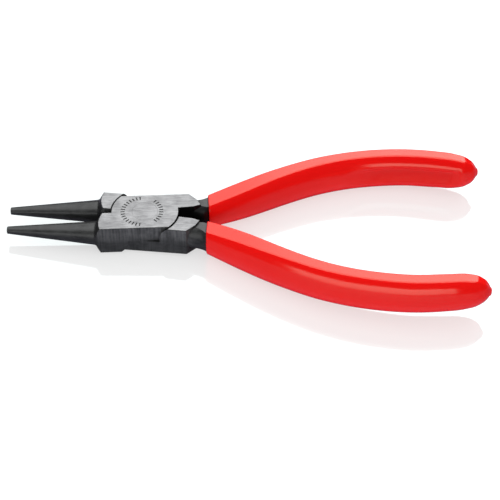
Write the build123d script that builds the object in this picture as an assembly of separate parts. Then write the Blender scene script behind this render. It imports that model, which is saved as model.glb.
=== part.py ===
from build123d import *
import math
import os

# Round nose pliers with a lap joint, in millimetres and degrees.
# Each half is drawn with the head's closing faces together, +X towards the handles and the
# pivot axis on Z. The jaw tips meet a little before the closing faces do.
# The lower half is the upper half turned over about the X axis, as both are one forging.

# Pose at rest
open_half = 4.44            # each half is turned this far from the drawn frame

# Head
head_thickness = 8.3
head_side = 6.25            # from the long centre line to the ground side walls
lap_gap = 0.08              # between the two lapped faces
lap_height = -0.45          # the lapped faces lie this far from the middle of the thickness
stop_gap = 0.05             # from the centre line to each half's closing face
pivot_disc = 8.7            # radius of the disc that each half turns on, at the ground face
disc_waist = 7.4            # the disc narrows in a hollow curve below its rim to this radius
disc_hollow = 7.7           # radius halfway down that curve
rim_depth = 3.0             # height of the curve below the ground face
pocket_clearance = 0.35     # between the disc and the other half's pocket
rear_inner = 0.95           # the rear blocks stay this far from the centre line
rear_inner_end = (12.6, 1.25)
rear_inner_tip = (14.5, 1.85)
rear_bevel = (13.7, 3.8)
rear_corner = 11.5
edge_break = 0.12           # small bevel on the ground faces' edges

# Jaws
jaw_tip_x = -35.7
jaw_base_x = -12.65
jaw_tip_radius = 0.95
jaw_base_radius = 3.1
jaw_tip_lead = 0.13         # the tips lean this far past the closing faces
jaw_root_fillet = 0.9
flare_angle = 58            # slope of the head's front face, from the jaw's own axis
tip_round = 0.15

# Rivet
rivet_radius = 2.6
rivet_head_radius = 3.3
rivet_head_depth = 0.9
rivet_clearance = 0.04

# Stamped ring of ticks on the upper face
tick_ring = 5.0
tick_centre = -0.75          # the ring is struck a little ahead of the pivot
tick_length = 1.1
tick_width = 0.35
tick_depth = 0.12
tick_spacing = 10.5
tick_arcs = [(95, 17), (-47, 10)]     # first angle and number of ticks of each arc, anticlockwise

# Handles: station along X, centre Y, half width, half thickness, half width of the flat
neck_sections = [
    (10.0, 3.45, 2.3, 3.4, 0.6),
    (12.6, 3.3, 2.7, 3.55, 0.8),
    (14.6, 3.2, 3.0, 3.55, 1.2),
]
grip_sections = [
    (16.2, 3.6, 3.65, 3.8, 2.1),
    (20.0, 5.15, 3.9, 4.2, 2.1),
    (26.0, 7.75, 4.15, 4.75, 2.05),
    (32.0, 10.5, 4.15, 5.15, 1.85),
    (38.0, 13.1, 4.05, 5.35, 1.6),
    (46.0, 16.0, 3.9, 5.4, 1.45),
    (54.0, 17.8, 3.8, 5.4, 1.35),
    (62.0, 18.6, 3.7, 5.35, 1.35),
    (70.0, 18.45, 3.7, 5.25, 1.35),
    (78.0, 17.3, 3.7, 5.15, 1.35),
    (83.2, 16.3, 3.5, 4.7, 1.3),
    (86.3, 15.85, 3.0, 3.4, 1.15),
    (88.3, 15.7, 1.9, 1.65, 0.7),
    (89.1, 15.7, 0.9, 0.7, 0.3),
]
grip_front = 16.2           # the coat's dip line
coat_front = 0.55           # coat thickness at the dip line
coat = 0.8                  # coat thickness along the handle
tang_sections_used = 10     # the steel stops short of the coat's closed end
channel_depth = 0.9         # finger channel along the inside of each grip
channel_radius = 3.2
channel_start = 52.0
channel_end = 84.0


def on_circle(radius, y, side):
    """The point of a circle about the pivot at height y, on the side (-1 or 1) of X."""
    return (side * math.sqrt(radius**2 - y**2), y)


def head_outline():
    """Front block, pivot disc and rear block of one half, seen along the pivot axis."""
    front = jaw_base_x - 1
    low_end = on_circle(pivot_disc, -head_side, 1)
    inner_corner = on_circle(pivot_disc, rear_inner, 1)
    rear_side = (rear_corner, head_side)
    disc_end = on_circle(pivot_disc, head_side, -1)
    inner_front = on_circle(pivot_disc, -stop_gap, -1)
    edges = [
        Polyline(inner_front, (front, -stop_gap), (front, -head_side), low_end),
        ThreePointArc(low_end, (pivot_disc, 0), inner_corner),
        Polyline(inner_corner, rear_inner_end, rear_inner_tip, rear_bevel, rear_side, disc_end),
        ThreePointArc(disc_end, on_circle(pivot_disc, 4.0, -1), inner_front),
    ]
    return make_face(Wire([edge for line in edges for edge in line.edges()]))


def jaw_envelope():
    """The cone, its root fillet and the flared head front, turned about the jaw's own axis."""
    tip = Vector(jaw_tip_x, jaw_tip_lead - stop_gap - jaw_tip_radius, 0)
    base = Vector(jaw_base_x, -stop_gap - jaw_base_radius, 0)
    axis = (base - tip).normalized()
    length = (base - tip).length
    slope = math.atan((jaw_base_radius - jaw_tip_radius) / length)
    turn = (math.radians(flare_angle) - slope) / 2
    back = jaw_root_fillet * math.tan(turn)
    fillet_start = (length - back * math.cos(slope), jaw_base_radius - back * math.sin(slope))
    rise = math.radians(flare_angle)
    fillet_end = (length + back * math.cos(rise), jaw_base_radius + back * math.sin(rise))
    fillet_middle_angle = (slope + rise) / 2
    centre = (
        fillet_start[0] - jaw_root_fillet * math.sin(slope),
        fillet_start[1] + jaw_root_fillet * math.cos(slope),
    )
    fillet_middle = (
        centre[0] + jaw_root_fillet * math.sin(fillet_middle_angle),
        centre[1] - jaw_root_fillet * math.cos(fillet_middle_angle),
    )
    reach = 14.0
    flare_end = (fillet_end[0] + reach / math.tan(rise), fillet_end[1] + reach)
    back_end = length + 60
    edges = [
        Line((0, 0), (0, jaw_tip_radius - tip_round)),
        Line((0, jaw_tip_radius - tip_round), (tip_round, jaw_tip_radius + tip_round * math.tan(slope))),
        Line((tip_round, jaw_tip_radius + tip_round * math.tan(slope)), fillet_start),
        ThreePointArc(fillet_start, fillet_middle, fillet_end),
        Line(fillet_end, flare_end),
        Line(flare_end, (back_end, flare_end[1])),
        Line((back_end, flare_end[1]), (back_end, 0)),
        Line((back_end, 0), (0, 0)),
    ]
    turned = revolve(make_face(Wire(edges)), Axis.X)
    yaw = math.degrees(math.atan2(axis.Y, axis.X))
    return Pos(tip.X, tip.Y, 0) * Rot(0, 0, yaw) * turned


def section(x, y, half_width, half_thickness, flat):
    """A handle's outline across X: flat above and below, with bowed sides."""
    edges = [
        Line((-flat, half_thickness), (flat, half_thickness)),
        ThreePointArc((flat, half_thickness), (half_width, 0), (flat, -half_thickness)),
        Line((flat, -half_thickness), (-flat, -half_thickness)),
        ThreePointArc((-flat, -half_thickness), (-half_width, 0), (-flat, half_thickness)),
    ]
    across_x = Plane(origin=(x, y, 0), x_dir=(0, 1, 0), z_dir=(1, 0, 0))
    return across_x * make_face(Wire(edges))


def channel(radius):
    """A cutter for the groove along the inside of the handle, with a ball end at the rear."""
    stations = [s for s in grip_sections if channel_start <= s[0] <= channel_end]
    inner = [(x, y - half_width) for x, y, half_width, _, _ in stations]
    sink = channel_radius - channel_depth
    shifts = [-channel_depth] + [0] * (len(inner) - 1)
    path = Spline([(x, y - sink + shift) for (x, y), shift in zip(inner, shifts)])
    start = Plane(origin=path @ 0, z_dir=path % 0)
    return sweep(start * Circle(radius), path=path) + Pos(*(path @ 1)) * Sphere(radius)


def tang():
    """The forged steel core: a smooth neck, then straight lengths from station to station."""
    rear = []
    for x, y, half_width, half_thickness, flat in grip_sections[:tang_sections_used]:
        skin = coat_front if x == grip_front else coat
        rear.append(section(x, y, half_width - skin, half_thickness - skin, flat - 0.3))
    neck = loft([section(*station) for station in neck_sections] + rear[:1])
    core = neck + loft(rear, ruled=True)
    return core - channel(channel_radius + coat)


def rim_profile(foot, clearance, outer_wall):
    """Half section of a disc up to its ground face, or of what surrounds it out to a wall."""
    top = head_thickness / 2
    waist = (disc_waist + clearance, top - rim_depth)
    hollow = (disc_hollow + clearance, top - rim_depth / 2)
    rim = (pivot_disc + clearance, top)
    curve = [Line((waist[0], foot), waist), ThreePointArc(waist, hollow, rim)]
    rest = Polyline(rim, (outer_wall, top), (outer_wall, foot), (waist[0], foot))
    return Plane.XZ * make_face(Wire([*curve, *rest.edges()]))


def pocket(foot):
    """The room that one half's disc needs below the lap, in the other half's blocks."""
    return Rot(180, 0, 0) * revolve(rim_profile(foot, pocket_clearance, 0), Axis.Z)


def rim_cutter(foot):
    """What is cut away under the disc's rim, in the two quarters where the disc is free."""
    ring = revolve(rim_profile(foot, 0, pivot_disc + 1), Axis.Z)
    return ring & free_quarters()


def free_quarters():
    """Where a half has only its disc: ahead of the pivot on one side, behind it on the other."""
    room = 2 * head_thickness + 2 * pivot_disc
    ahead = Pos(-room / 2, room / 2 - stop_gap, 0) * Box(room, room, room)
    behind = Pos(room / 2, rear_inner - room / 2, 0) * Box(room, room, room)
    return ahead + behind


def half(lap):
    """One forging: round jaw, lapped head and tang. The lapped faces meet at the height lap."""
    face = head_thickness / 2
    outline = head_outline()
    foot = lap + lap_gap / 2
    own_layer = Pos(0, 0, foot) * extrude(outline, face - foot) - rim_cutter(foot)
    blocks = Pos(0, 0, -face) * extrude(outline, face + foot)
    blocks = blocks - pocket(-foot) - free_quarters()
    front = jaw_base_x - 0.5
    jaw_length = front - jaw_tip_x + 1
    jaw_room = Pos(front - jaw_length / 2, 0, 0) * Box(jaw_length, 2 * head_side, head_thickness)
    forged = (own_layer + blocks + jaw_room) & jaw_envelope()
    face_edges = forged.edges().filter_by(lambda edge: on_ground_face(edge))
    return chamfer(face_edges, edge_break) + tang()


def on_ground_face(edge):
    """True for an edge that lies in the head's upper or lower ground face."""
    heights = [abs(edge.position_at(t).Z) for t in (0, 0.5, 1)]
    return all(abs(height - head_thickness / 2) < 0.001 for height in heights)


def rivet():
    """A flush rivet with a countersunk head on each side."""
    half_length = head_thickness / 2
    points = [
        (0, -half_length),
        (rivet_head_radius, -half_length),
        (rivet_radius, -half_length + rivet_head_depth),
        (rivet_radius, half_length - rivet_head_depth),
        (rivet_head_radius, half_length),
        (0, half_length),
    ]
    return revolve(Plane.XZ * make_face(Polyline(*points, close=True)), Axis.Z)


def rivet_hole(clearance):
    """The countersunk hole that the rivet fills, larger by the clearance."""
    return offset(rivet(), clearance) if clearance else rivet()


def grip():
    """The dipped coat over the tang, open at the front and closed at the end."""
    outside = loft([section(*station) for station in grip_sections])
    return outside - channel(channel_radius) - tang()


def ticks():
    """Two arcs of short radial ticks, a plain ornament round the rivet."""
    bar = Box(tick_length, tick_width, 2 * tick_depth)
    marks = []
    for first, count in tick_arcs:
        for i in range(count):
            turn = Rot(0, 0, first + i * tick_spacing)
            marks.append(Pos(tick_centre, 0, head_thickness / 2) * turn * Pos(tick_ring, 0, 0) * bar)
    return marks


def place_upper(shape):
    """From the closed frame to rest, with the head's underside on z = 0."""
    return Pos(0, 0, head_thickness / 2) * Rot(0, 0, open_half) * shape


def place_lower(shape):
    """The same half turned over, open the other way."""
    return Pos(0, 0, head_thickness / 2) * Rot(0, 0, -open_half) * Rot(180, 0, 0) * shape


def write(name, shape):
    shape.label = name
    export_step(shape, f"parts/{name}.step")


os.makedirs("parts", exist_ok=True)
coat_shape = grip()
upper = half(lap_height) - rivet_hole(rivet_clearance)
for mark in ticks():
    upper -= mark
write("upper_half", place_upper(upper))
write("lower_half", place_lower(half(-lap_height) - rivet_hole(0)))
write("rivet", place_lower(rivet()))
write("upper_grip", place_upper(coat_shape))
write("lower_grip", place_lower(coat_shape))
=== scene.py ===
import math

import bpy
import numpy as np
from mathutils import Matrix, Vector


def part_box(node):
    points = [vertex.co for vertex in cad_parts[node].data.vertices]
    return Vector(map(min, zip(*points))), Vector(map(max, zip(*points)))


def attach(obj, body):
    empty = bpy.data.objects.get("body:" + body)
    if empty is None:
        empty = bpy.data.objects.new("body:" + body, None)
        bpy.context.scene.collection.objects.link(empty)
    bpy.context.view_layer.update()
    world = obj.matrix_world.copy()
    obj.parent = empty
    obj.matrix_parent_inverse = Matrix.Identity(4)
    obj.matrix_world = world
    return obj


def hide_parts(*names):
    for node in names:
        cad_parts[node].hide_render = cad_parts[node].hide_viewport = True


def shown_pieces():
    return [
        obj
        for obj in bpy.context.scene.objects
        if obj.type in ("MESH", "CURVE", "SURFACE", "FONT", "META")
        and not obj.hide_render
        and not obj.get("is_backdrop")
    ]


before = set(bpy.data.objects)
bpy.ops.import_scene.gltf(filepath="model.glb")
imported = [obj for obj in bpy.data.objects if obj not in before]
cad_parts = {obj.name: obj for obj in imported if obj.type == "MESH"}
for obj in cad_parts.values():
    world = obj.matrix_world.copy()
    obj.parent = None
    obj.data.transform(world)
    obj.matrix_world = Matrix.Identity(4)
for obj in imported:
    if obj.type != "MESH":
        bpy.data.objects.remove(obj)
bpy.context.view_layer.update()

mm = 0.001

# The rivet is ground flush with the head, so its box gives the heights of the two ground faces
rivetLow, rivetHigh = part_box("rivet")
underside, topFace = rivetLow.z, rivetHigh.z
middle = (underside + topFace) / 2
openHalf = 4.44          # degrees that each half stands open from closed jaws

camera = {
    "azimuth": 1.21,          # degrees round to the right of a straight front view
    "elevation": 44.0,
    "roll": 0.25,
    "lens": 114.4,
    "distance": 405.5 * mm,
    "aim": (27.36 * mm, -9.33 * mm, middle),
}


def addCamera(spec):
    azimuth, elevation = math.radians(spec["azimuth"]), math.radians(spec["elevation"])
    flat = math.cos(elevation)
    back = Vector((math.sin(azimuth) * flat, -math.cos(azimuth) * flat, math.sin(elevation)))
    data = bpy.data.cameras.new("viewCamera")
    data.lens = spec["lens"]
    data.sensor_width = 36
    data.clip_start, data.clip_end = 0.01, 20
    obj = bpy.data.objects.new("viewCamera", data)
    bpy.context.scene.collection.objects.link(obj)
    obj.location = Vector(spec["aim"]) + back * spec["distance"]
    turn = (-back).to_track_quat("-Z", "Y").to_matrix()
    roll = Matrix.Rotation(math.radians(spec["roll"]), 3, "Z")
    obj.rotation_euler = (turn @ roll).to_euler()
    bpy.context.scene.camera = obj
    print("camera placed")


# An input given as another node's output is linked to it, any other value is set
def addNode(tree, kind, inputs=None, **settings):
    node = tree.nodes.new(kind)
    for name, value in settings.items():
        setattr(node, name, value)
    for key, value in (inputs or {}).items():
        if isinstance(value, bpy.types.NodeSocket):
            tree.links.new(value, node.inputs[key])
        else:
            node.inputs[key].default_value = value
    return node


def calc(tree, operation, *values):
    return addNode(tree, "ShaderNodeMath", dict(enumerate(values)), operation=operation).outputs[0]


# 0 at low, 1 at high, smooth between
def ramp(tree, value, low, high):
    inputs = {0: value, 1: low, 2: high}
    return addNode(tree, "ShaderNodeMapRange", inputs, interpolation_type="SMOOTHSTEP").outputs[0]


# The first limit at 0, the second at 1, straight between
def spread(tree, value, limits):
    return addNode(tree, "ShaderNodeMapRange", {0: value, 3: limits[0], 4: limits[1]}).outputs[0]


def mixColor(tree, share, first, second):
    inputs = {0: share, 6: first, 7: second}
    return addNode(tree, "ShaderNodeMix", inputs, data_type="RGBA").outputs[2]


def mixValue(tree, share, first, second):
    inputs = {0: share, 2: first, 3: second}
    return addNode(tree, "ShaderNodeMix", inputs, data_type="FLOAT").outputs[0]


def noise(tree, vector, scale, detail=3.0, rough=0.55):
    inputs = {"Vector": vector, "Scale": scale, "Detail": detail, "Roughness": rough}
    return addNode(tree, "ShaderNodeTexNoise", inputs).outputs["Fac"]


def addBump(tree, shader, height, strength, distance):
    inputs = {"Height": height, "Strength": strength, "Distance": distance}
    bump = addNode(tree, "ShaderNodeBump", inputs)
    tree.links.new(bump.outputs["Normal"], shader.inputs["Normal"])


def newMaterial(name):
    material = bpy.data.materials.new(name)
    material.use_nodes = True
    tree = material.node_tree
    return material, tree, tree.nodes["Principled BSDF"]


def newGroup(name, inputs, outputs):
    group = bpy.data.node_groups.new(name, "ShaderNodeTree")
    for direction, sockets in (("INPUT", inputs), ("OUTPUT", outputs)):
        for socketName, kind in sockets:
            group.interface.new_socket(socketName, in_out=direction, socket_type="NodeSocket" + kind)
    return group, group.nodes.new("NodeGroupInput"), group.nodes.new("NodeGroupOutput")


steel = {
    "faceDark": (0.12, 0.121, 0.124, 1),       # the two flat ground faces of the head
    "faceLight": (0.27, 0.272, 0.276, 1),
    "faceRoughness": (0.34, 0.5),
    "faceSqueeze": (300.0, 2700.0, 100.0),     # lines along X, per metre
    "faceStart": (0.06 * mm, 0.02 * mm),       # below the ground level, faint and full
    "metallic": (0.55, 1.0),                   # of the black skin, and of the ground faces
    "oxideDark": (0.015, 0.0155, 0.0155, 1),   # the black skin everywhere else
    "oxideLight": (0.039, 0.04, 0.04, 1),
    "oxideRoughness": (0.26, 0.42),
    "oxideSqueeze": (260.0, 1500.0, 1500.0),
    "sideLight": (0.15, 0.153, 0.153, 1),      # upright lines on the head's ground sides
    "sideSqueeze": (2300.0, 2300.0, 90.0),
    "sideFront": (-12.2 * mm, -11.4 * mm),     # along X, where those lines fade in
    "sideRear": (14.2 * mm, 11.0 * mm),        # and where they have faded out
    # The next entry also paints shade: the side's lighter tone fades lower down, which darkens the
    # lower part of the side
    "sideShadeRise": (-1.5 * mm, 2.5 * mm),         # above the middle, faintest and clearest
    # Painted shade: the next colour darkens the sides that look at each other behind the head,
    # standing in for the shade between the two halves
    "slotPaintedShade": (0.004, 0.004, 0.0042, 1),     # sides that look at each other behind the head
    "slotShadeFront": (6.0 * mm, 8.5 * mm),
    "grindCloud": 330.0,                       # per metre: slow clouds under the grind lines
    "grindShares": (0.6, 0.4),                 # of the lines and the clouds in the tone
    "grain": 1700.0,                           # per metre: the fine grain of the whole forging
    "bumpShares": (0.5, 0.9, 0.5),             # of the face lines, the side lines and the grain
    "bumpHeight": 0.03 * mm,
    "rivetBumpHeight": 0.02 * mm,
}


# Fine parallel lines of a grinding belt, as noise squeezed across the lines, with a soft cloud
def grindGroup():
    group, start, end = newGroup(
        "grindLines",
        [("Vector", "Vector"), ("Squeeze", "Vector")],
        [("Lines", "Float"), ("Tone", "Float")],
    )
    inputs = {0: start.outputs["Vector"], 1: start.outputs["Squeeze"]}
    squeezed = addNode(group, "ShaderNodeVectorMath", inputs, operation="MULTIPLY").outputs[0]
    lines = noise(group, squeezed, 1.0, 4.0, 0.7)
    cloud = noise(group, start.outputs["Vector"], steel["grindCloud"], 3.0, 0.6)
    lineShare, cloudShare = steel["grindShares"]
    lineTone, cloudTone = ramp(group, lines, 0.3, 0.7), ramp(group, cloud, 0.3, 0.7)
    cloudTone = calc(group, "MULTIPLY", cloudTone, cloudShare)
    tone = calc(group, "MULTIPLY_ADD", lineTone, lineShare, cloudTone)
    group.links.new(lines, end.inputs["Lines"])
    group.links.new(tone, end.inputs["Tone"])
    print("grind lines ready")
    return group


def placeGrind(tree, grind, place, squeeze):
    inputs = {"Vector": place, "Squeeze": squeeze}
    return addNode(tree, "ShaderNodeGroup", inputs, node_tree=grind).outputs


# Where the shape is ground bright: on the two faces furthest from the middle, and level
def groundMask(tree, z, nz):
    height = calc(tree, "ABSOLUTE", calc(tree, "SUBTRACT", z, middle))
    faceLevel = (topFace - underside) / 2
    faint, full = steel["faceStart"]
    onFace = ramp(tree, height, faceLevel - faint, faceLevel - full)
    return calc(tree, "MULTIPLY", onFace, ramp(tree, calc(tree, "ABSOLUTE", nz), 0.5, 0.9))


# Upright sides of the head: between its two ends, where the normal lies flat
def sideMask(tree, x, nz):
    front, rear = ramp(tree, x, *steel["sideFront"]), ramp(tree, x, *steel["sideRear"])
    along = calc(tree, "MULTIPLY", front, rear)
    return calc(tree, "MULTIPLY", along, ramp(tree, calc(tree, "ABSOLUTE", nz), 0.35, 0.1))


# Painted shade between the halves: sides behind the head that face the middle plane, where y and the
# normal's y have opposite signs
def slotShadeMask(tree, x, y, ny):
    inward = calc(tree, "MULTIPLY", ny, calc(tree, "SIGN", y))
    return calc(tree, "MULTIPLY", ramp(tree, inward, 0.05, -0.5), ramp(tree, x, *steel["slotShadeFront"]))


# The bright ground face: its color, its roughness and its lines
def groundFace(tree, grind, place):
    face = placeGrind(tree, grind, place, steel["faceSqueeze"])
    color = mixColor(tree, face["Tone"], steel["faceDark"], steel["faceLight"])
    return color, spread(tree, face["Lines"], steel["faceRoughness"]), face["Lines"]


def forgedSteel(grind):
    material, tree, shader = newMaterial("forgedSteel")
    place = addNode(tree, "ShaderNodeTexCoord").outputs["Object"]
    normal = addNode(tree, "ShaderNodeNewGeometry").outputs["Normal"]
    x, y, z = addNode(tree, "ShaderNodeSeparateXYZ", {0: place}).outputs
    ny, nz = addNode(tree, "ShaderNodeSeparateXYZ", {0: normal}).outputs[1:]
    ground, sides, slotShade = groundMask(tree, z, nz), sideMask(tree, x, nz), slotShadeMask(tree, x, y, ny)
    faceColor, faceRough, faceLines = groundFace(tree, grind, place)
    skin = placeGrind(tree, grind, place, steel["oxideSqueeze"])
    side = placeGrind(tree, grind, place, steel["sideSqueeze"])

    oxide = mixColor(tree, skin["Tone"], steel["oxideDark"], steel["oxideLight"])
    # Painted shade: the ground sides' lines are real, but their tone fades to a quarter towards the
    # bottom, so the side is darker lower down as shade would make it
    riseLow, riseHigh = steel["sideShadeRise"]
    sideShadeRise = ramp(tree, z, middle + riseLow, middle + riseHigh)
    sideShadeFade = calc(tree, "MULTIPLY_ADD", sideShadeRise, 0.75, 0.25)
    sideTone = calc(tree, "MULTIPLY", calc(tree, "MULTIPLY", sides, sideShadeFade), side["Tone"])
    oxide = mixColor(tree, sideTone, oxide, steel["sideLight"])
    # Painted shade: the sides that face each other behind the head go near black, standing in for
    # the shade that falls between the two halves
    oxide = mixColor(tree, slotShade, oxide, steel["slotPaintedShade"])
    tree.links.new(mixColor(tree, ground, oxide, faceColor), shader.inputs["Base Color"])

    skinRough = spread(tree, skin["Tone"], steel["oxideRoughness"])
    tree.links.new(mixValue(tree, ground, skinRough, faceRough), shader.inputs["Roughness"])
    skinMetal, faceMetal = steel["metallic"]
    metallic = calc(tree, "MULTIPLY_ADD", ground, faceMetal - skinMetal, skinMetal)
    tree.links.new(metallic, shader.inputs["Metallic"])

    faceShare, sideShare, grainShare = steel["bumpShares"]
    groundBump = calc(tree, "MULTIPLY", faceLines, calc(tree, "MULTIPLY", ground, faceShare))
    sideBump = calc(tree, "MULTIPLY", side["Lines"], calc(tree, "MULTIPLY", sides, sideShare))
    grain = calc(tree, "MULTIPLY", noise(tree, place, steel["grain"], 3.0, 0.6), grainShare)
    total = calc(tree, "ADD", calc(tree, "ADD", groundBump, sideBump), grain)
    addBump(tree, shader, total, 0.35, steel["bumpHeight"])
    print("forged steel mixed")
    return material


def rivetSteel(grind):
    material, tree, shader = newMaterial("rivetSteel")
    place = addNode(tree, "ShaderNodeTexCoord").outputs["Object"]
    color, rough, lines = groundFace(tree, grind, place)
    tree.links.new(color, shader.inputs["Base Color"])
    tree.links.new(rough, shader.inputs["Roughness"])
    shader.inputs["Metallic"].default_value = steel["metallic"][1]
    addBump(tree, shader, lines, 0.2, steel["rivetBumpHeight"])
    print("rivet steel mixed")
    return material


coat = {
    "color": (0.75, 0.0065, 0.005, 1),
    "deep": (0.67, 0.0045, 0.0045, 1),
    "colorScale": 60.0,        # per metre: slow drift between the two
    "roughness": (0.09, 0.17),
    "roughnessScale": 700.0,
    "ior": 1.5,
    "glossTint": (1.0, 0.95, 0.76, 1),
    "rippleScale": 180.0,      # per metre: the slow waves of a coat that ran before it set
    "rippleStrength": 0.12,
    "rippleHeight": 0.08 * mm,
}


def dippedCoat():
    material, tree, shader = newMaterial("dippedCoat")
    place = addNode(tree, "ShaderNodeTexCoord").outputs["Object"]
    drift = noise(tree, place, coat["colorScale"], 3.0, 0.5)
    color = mixColor(tree, drift, coat["deep"], coat["color"])
    tree.links.new(color, shader.inputs["Base Color"])
    haze = spread(tree, noise(tree, place, coat["roughnessScale"], 3.0, 0.6), coat["roughness"])
    tree.links.new(haze, shader.inputs["Roughness"])
    shader.inputs["IOR"].default_value = coat["ior"]
    shader.inputs["Specular Tint"].default_value = coat["glossTint"]
    ripple = noise(tree, place, coat["rippleScale"], 2.0, 0.5)
    addBump(tree, shader, ripple, coat["rippleStrength"], coat["rippleHeight"])
    print("coat mixed")
    return material


grip = {
    # stations along the handle from the pivot, in mm, in the half's own closed frame
    "station": [16.5, 20.0, 26.0, 32.0, 38.0, 46.0, 54.0, 62.0, 70.0, 78.0, 83.2, 86.3, 88.2, 88.95],
    "centre": [3.7, 5.15, 7.75, 10.5, 13.1, 16.0, 17.8, 18.6, 18.5, 17.35, 16.35, 15.9, 15.7, 15.7],
    "halfWidth": [3.65, 3.9, 4.15, 4.15, 4.05, 3.9, 3.8, 3.75, 3.8, 3.8, 3.65, 2.95, 1.85, 0.95],
    "halfThickness": [3.8, 4.2, 4.78, 5.18, 5.35, 5.4, 5.4, 5.4, 5.32, 5.25, 4.9, 3.95, 2.35, 1.15],
    "flat": [2.1, 2.15, 2.15, 1.95, 1.7, 1.5, 1.38, 1.35, 1.35, 1.35, 1.3, 1.1, 0.7, 0.35],
    "edgeRound": [0.4, 0.45, 0.55, 0.6, 0.65, 0.7, 0.7, 0.7, 0.75, 0.75, 0.75, 0.7, 0.55, 0.3],
    "rows": 260,
    "ringSteps": (8, 6, 28),   # across a flat, round a corner, down a side
    "capSteps": 6,             # round the lip, and round the tip
    "upperLean": -0.02,        # the dip line leans back towards the outside, by this share
    "lowerLean": 0.05,
    "leanFade": (0.5, 9.0),    # behind the dip line, where the lean starts to go and is gone
    "tipLength": 0.4,          # the last bulge past the last station
    "poleGap": 0.015,          # from the last ring on to the closing point
    "lipRound": 0.3,
    "lipInset": 0.8,
    "channelDepth": 1.25,      # the groove along the inner side, deepest at channelCentre
    "channelCentre": 1.0,
    "channelReach": (1.6, 3.4),    # from there up to its upper edge and down to its lower edge
    "channelEdge": 1.1,        # 1 is a sharp edge, 2 a soft one
    "channelFrom": (53.0, 63.0),
    "channelTo": (81.8, 84.6),
}


# Cubic Hermite curve through the knots, with each slope taken from its neighbours
def smoothCurve(knots, values, at):
    knots, values = np.array(knots), np.array(values)
    slopes = np.gradient(values, knots)
    i = np.clip(np.searchsorted(knots, at) - 1, 0, len(knots) - 2)
    width = knots[i + 1] - knots[i]
    t = (at - knots[i]) / width
    t2, t3 = t * t, t * t * t
    return (
        (2 * t3 - 3 * t2 + 1) * values[i]
        + (t3 - 2 * t2 + t) * width * slopes[i]
        + (3 * t2 - 2 * t3) * values[i + 1]
        + (t3 - t2) * width * slopes[i + 1]
    )


# 0 up to low, 1 from high, and three t squared less two t cubed between
def ease(value, low, high):
    t = np.clip((value - low) / (high - low), 0, 1)
    return t * t * (3 - 2 * t)


# One ring per row: flat top and bottom, bowed sides, and a small arc at each corner. Each side
# is an arc through (a, 0) and the sharp corner (flat, b); the corner arc touches it and the flat.
def sectionRing(a, b, flat, rounding, steps):
    a, b, flat, rounding = (v[:, None] for v in (a, b, flat, rounding))
    bow = ((a - flat) ** 2 + b**2) / (2 * (a - flat))
    centre = a - bow
    cornerX = centre + np.sqrt((bow - rounding) ** 2 - (b - rounding) ** 2)
    lean = np.arctan2(b - rounding, cornerX - centre)
    across, turn, down = (np.linspace(0, 1, n, endpoint=False)[None, :] for n in steps)
    topX, topZ = -cornerX + 2 * cornerX * across, b + 0 * across
    angle = math.pi / 2 + (lean - math.pi / 2) * turn
    firstX, firstZ = cornerX + rounding * np.cos(angle), b - rounding + rounding * np.sin(angle)
    angle = lean - 2 * lean * down
    sideX, sideZ = centre + bow * np.cos(angle), bow * np.sin(angle)
    angle = -lean - (math.pi / 2 - lean) * turn
    lastX, lastZ = cornerX + rounding * np.cos(angle), -b + rounding + rounding * np.sin(angle)
    halfX = np.concatenate([topX, firstX, sideX, lastX], 1)
    halfZ = np.concatenate([topZ, firstZ, sideZ, lastZ], 1)
    return np.concatenate([halfX, -halfX], 1), np.concatenate([halfZ, -halfZ], 1)


# Where the rows stand, how far each is drawn in and how far it is scaled. The first rows come
# from the steel out to the lip and round it, a quarter circle of lipRound. The body's rows are
# spaced by the sine of their share, so they crowd towards the tip. The last rows are placed by
# the sine of an angle and shrunk by its cosine, which closes the tip.
def gripRows(spec):
    first, last = spec["station"][0], spec["station"][-1]
    quarter = np.linspace(0, math.pi / 2, spec["capSteps"] + 1)
    lipX = first + spec["lipRound"] * (1 - np.cos(quarter))
    lipInset = spec["lipRound"] * (1 - np.sin(quarter))
    share = np.linspace(0, 1, spec["rows"])[1:]
    bodyFirst = first + spec["lipRound"]
    bodyX = bodyFirst + (last - bodyFirst) * np.sin(share * math.pi / 2)
    tipAngle = quarter[1:-1]
    tipX = last + spec["tipLength"] * np.sin(tipAngle)
    faceInset = [spec["lipInset"], (spec["lipInset"] + spec["lipRound"]) / 2]
    x = np.concatenate([[first, first], lipX, bodyX, tipX])
    inset = np.concatenate([faceInset, lipInset, 0 * bodyX, 0 * tipX])
    scale = np.concatenate([np.ones(len(x) - len(tipX)), np.cos(tipAngle)])
    return x, inset, scale


# Rows along X, each a ring around the handle. The groove sinks the inner side by its depth
# times (1 - (height / reach) squared) to the power of channelEdge. The lean shifts a row's
# points along X by a share of their distance to the side.
def gripSurface(spec, lipLean):
    knots = spec["station"]
    first, last = knots[0], knots[-1]
    x, inset, scale = gripRows(spec)
    at = np.clip(x, first, last)
    centre, a, b, flat, rounding = (
        smoothCurve(knots, spec[key], at)
        for key in ("centre", "halfWidth", "halfThickness", "flat", "edgeRound")
    )
    a, b, flat = (a - inset) * scale, (b - inset) * scale, (flat - inset / 2) * scale
    ringY, ringZ = sectionRing(a, b, flat, rounding * scale, spec["ringSteps"])
    depth = spec["channelDepth"] * ease(x, *spec["channelFrom"]) * (1 - ease(x, *spec["channelTo"]))
    height = ringZ - spec["channelCentre"]
    height = height / np.where(height > 0, *spec["channelReach"])
    groove = np.clip(1 - height**2, 0, 1) ** spec["channelEdge"]
    ringY = ringY + (ringY < 0) * groove * depth[:, None]
    lean = lipLean * (1 - ease(x - first, *spec["leanFade"]))[:, None] * ringY
    points = np.stack([x[:, None] + lean, ringY + centre[:, None], ringZ], 2)
    return points, np.array([x[-1] + spec["poleGap"], centre[-1], 0.0])


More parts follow.
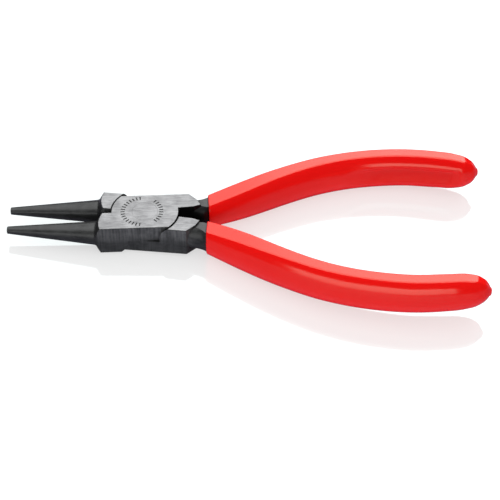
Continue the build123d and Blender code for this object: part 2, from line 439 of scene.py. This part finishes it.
# A tube from the grid, open at its first ring and closed at the pole
def gridMesh(name, points, pole):
    rows, columns, _ = points.shape
    vertices = np.concatenate([points.reshape(-1, 3), pole[None, :]])
    ring = np.arange(columns)
    ahead = np.roll(ring, -1)
    start = np.arange(rows - 1)[:, None] * columns
    corners = [start + ring, start + columns + ring, start + columns + ahead, start + ahead]
    quads = np.stack(corners, 2).reshape(-1, 4)
    lastRow = (rows - 1) * columns
    cap = np.stack([lastRow + ring, np.full(columns, rows * columns), lastRow + ahead], 1)
    mesh = bpy.data.meshes.new(name)
    mesh.from_pydata(vertices.tolist(), [], quads.tolist() + cap.tolist())
    mesh.polygons.foreach_set("use_smooth", np.ones(len(mesh.polygons), bool))
    mesh.update()
    return mesh


# From the half's closed frame, in mm, to its place at rest in the frame, in metres
def toRest(points, turnedOver):
    side = -1 if turnedOver else 1
    flipped = points * np.array([1, side, side])
    angle = math.radians(openHalf) * side
    c, s = math.cos(angle), math.sin(angle)
    spin = np.array([[c, s, 0], [-s, c, 0], [0, 0, 1]])
    return (flipped @ spin) * mm + np.array([0, 0, middle])


def addGrip(name, turnedOver, lipLean, node, body, material):
    points, pole = gripSurface(grip, lipLean)
    placed = toRest(points.reshape(-1, 3), turnedOver).reshape(points.shape)
    mesh = gridMesh(name, placed, toRest(pole[None, :], turnedOver)[0])
    obj = bpy.data.objects.new(name, mesh)
    bpy.context.scene.collection.objects.link(obj)
    mesh.materials.append(material)
    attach(obj, body)
    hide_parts(node)
    print(name, "made with", len(mesh.polygons), "faces")


stage = {
    "floorReach": 3.0,                 # metres from the middle to each edge
    "floorTilt": (-0.031, 0.026),      # rise per metre along X and Y: the tool lies nose down
    "floorColor": (0.16, 0.16, 0.16, 1),
    "floorMirrored": (0.1, 0.07, 0.13, 1),     # its color in the tool's own gloss
    "floorGlow": 0.62,                 # seen straight on
    "floorFill": 1.1,                  # the same floor as a soft fill light from below
    "floorRoughness": (0.5, 0.06),     # as the tool sees it, and straight on
    "floorGloss": (0.8, 1.0, 1.0, 1),
    "floorIor": 1.9,
    "world": 0.03,
}


# The floor glows for the camera and for soft light, and is duller in the tool's own gloss
def paleFloor(spec):
    material, tree, shader = newMaterial("paleFloor")
    shader.inputs["Specular Tint"].default_value = spec["floorGloss"]
    shader.inputs["IOR"].default_value = spec["floorIor"]
    shader.inputs["Emission Color"].default_value = (1, 1, 1, 1)
    rays = addNode(tree, "ShaderNodeLightPath").outputs
    color = mixColor(tree, rays["Is Glossy Ray"], spec["floorColor"], spec["floorMirrored"])
    tree.links.new(color, shader.inputs["Base Color"])
    seen = calc(tree, "MULTIPLY", rays["Is Camera Ray"], spec["floorGlow"])
    glow = calc(tree, "MULTIPLY_ADD", rays["Is Diffuse Ray"], spec["floorFill"], seen)
    tree.links.new(glow, shader.inputs["Emission Strength"])
    dull, clear = spec["floorRoughness"]
    rough = calc(tree, "MULTIPLY_ADD", rays["Is Camera Ray"], clear - dull, dull)
    tree.links.new(rough, shader.inputs["Roughness"])
    return material


# Plane height: floorTilt times x and y, plus the lowest height left when that is taken away
# from every vertex, so the plane touches the object from below
def addFloor(spec):
    slopeX, slopeY = spec["floorTilt"]
    low = math.inf
    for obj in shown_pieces():
        count = len(obj.data.vertices)
        flat = np.empty(count * 3, np.float32)
        obj.data.vertices.foreach_get("co", flat)
        co = flat.reshape(-1, 3)
        low = min(low, float((co[:, 2] - slopeX * co[:, 0] - slopeY * co[:, 1]).min()))
    reach = spec["floorReach"]
    corners = [(sx * reach, sy * reach) for sx, sy in ((-1, -1), (1, -1), (1, 1), (-1, 1))]
    mesh = bpy.data.meshes.new("floor")
    mesh.from_pydata([(x, y, low + slopeX * x + slopeY * y) for x, y in corners], [], [(0, 1, 2, 3)])
    floor = bpy.data.objects.new("floor", mesh)
    bpy.context.scene.collection.objects.link(floor)
    mesh.materials.append(paleFloor(spec))
    floor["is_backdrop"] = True
    print("floor laid")


# Lights: where they stand, what they face, width and height in metres, power in watts. A tone
# of (axis, low, high, dim, bright) makes the panel brighter from low to high across that axis.
panels = {
    "backSheet": {
        "place": (0.03, 0.75, 0.72), "aim": (0.03, 0, 0), "size": (1.6, 0.75), "power": 12,
        "tone": (0, 0.6, 0.42, 0.72, 1.3),
    },
    "topSheet": {"place": (0.03, 0.0, 1.0), "aim": (0.03, 0, 0), "size": (1.6, 1.0), "power": 15},
    "floorSheet": {       # what the floor mirrors when it is seen from behind
        "place": (0.03, -0.75, 0.72), "aim": (0.03, 0, 0), "size": (1.6, 0.75), "power": 9,
        "lights": ("floor",),
    },
    "steelSheet": {       # a faint one for the steel alone
        "place": (0.03, -0.75, 0.72), "aim": (0.03, 0, 0), "size": (1.6, 0.75), "power": 1.6,
        "lights": ("upper_half", "lower_half", "rivet"),
    },
    "frontBox": {
        "place": (-0.22, -1.0, 0.22), "aim": (-0.22, 0, 0.02), "size": (1.28, 0.42), "power": 5,
        "tone": (1, 0.0, 1.0, 0.6, 1.0),
    },
}


def addPanel(name, spec):
    data = bpy.data.lights.new(name, "AREA")
    data.shape = "RECTANGLE"
    data.size, data.size_y = spec["size"]
    data.energy = spec["power"]
    if "tone" in spec:
        axis, low, high, dim, bright = spec["tone"]
        data.use_nodes = True
        tree = data.node_tree
        across = addNode(tree, "ShaderNodeNewGeometry").outputs["Parametric"]
        value = addNode(tree, "ShaderNodeSeparateXYZ", {0: across}).outputs[axis]
        tone = addNode(tree, "ShaderNodeMapRange", {0: value, 1: low, 2: high, 3: dim, 4: bright})
        tree.links.new(tone.outputs[0], tree.nodes["Emission"].inputs["Strength"])
    obj = bpy.data.objects.new(name, data)
    bpy.context.scene.collection.objects.link(obj)
    place, aim = Vector(spec["place"]), Vector(spec["aim"])
    obj.location = place
    obj.rotation_euler = (aim - place).to_track_quat("-Z", "Y").to_euler()
    obj.visible_camera = False
    if "lights" in spec:
        lit = bpy.data.collections.new(name + "Lights")
        for pieceName in spec["lights"]:
            lit.objects.link(bpy.data.objects[pieceName])
        obj.light_linking.receiver_collection = lit
    print(name, "hung")


# White to the camera, and a faint even light to everything else
def addWorld(spec):
    world = bpy.data.worlds.new("studio")
    world.use_nodes = True
    bpy.context.scene.world = world
    tree = world.node_tree
    background = tree.nodes["Background"]
    ray = addNode(tree, "ShaderNodeLightPath").outputs["Is Camera Ray"]
    strength = mixValue(tree, ray, spec["world"], 1.0)
    tree.links.new(strength, background.inputs["Strength"])
    background.inputs["Color"].default_value = (1, 1, 1, 1)
    print("world set")


grind = grindGroup()
steelMaterial = forgedSteel(grind)
for name in ("upper_half", "lower_half"):
    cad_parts[name].data.materials[0] = steelMaterial
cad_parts["rivet"].data.materials[0] = rivetSteel(grind)
coatMaterial = dippedCoat()
addGrip("upperGripCoat", False, grip["upperLean"], "upper_grip", "upper_arm", coatMaterial)
addGrip("lowerGripCoat", True, grip["lowerLean"], "lower_grip", "lower_arm", coatMaterial)
addFloor(stage)
addWorld(stage)
for panelName, panelSpec in panels.items():
    addPanel(panelName, panelSpec)
addCamera(camera)
bpy.context.scene.view_settings.view_transform = "Standard"
print("stage lit")
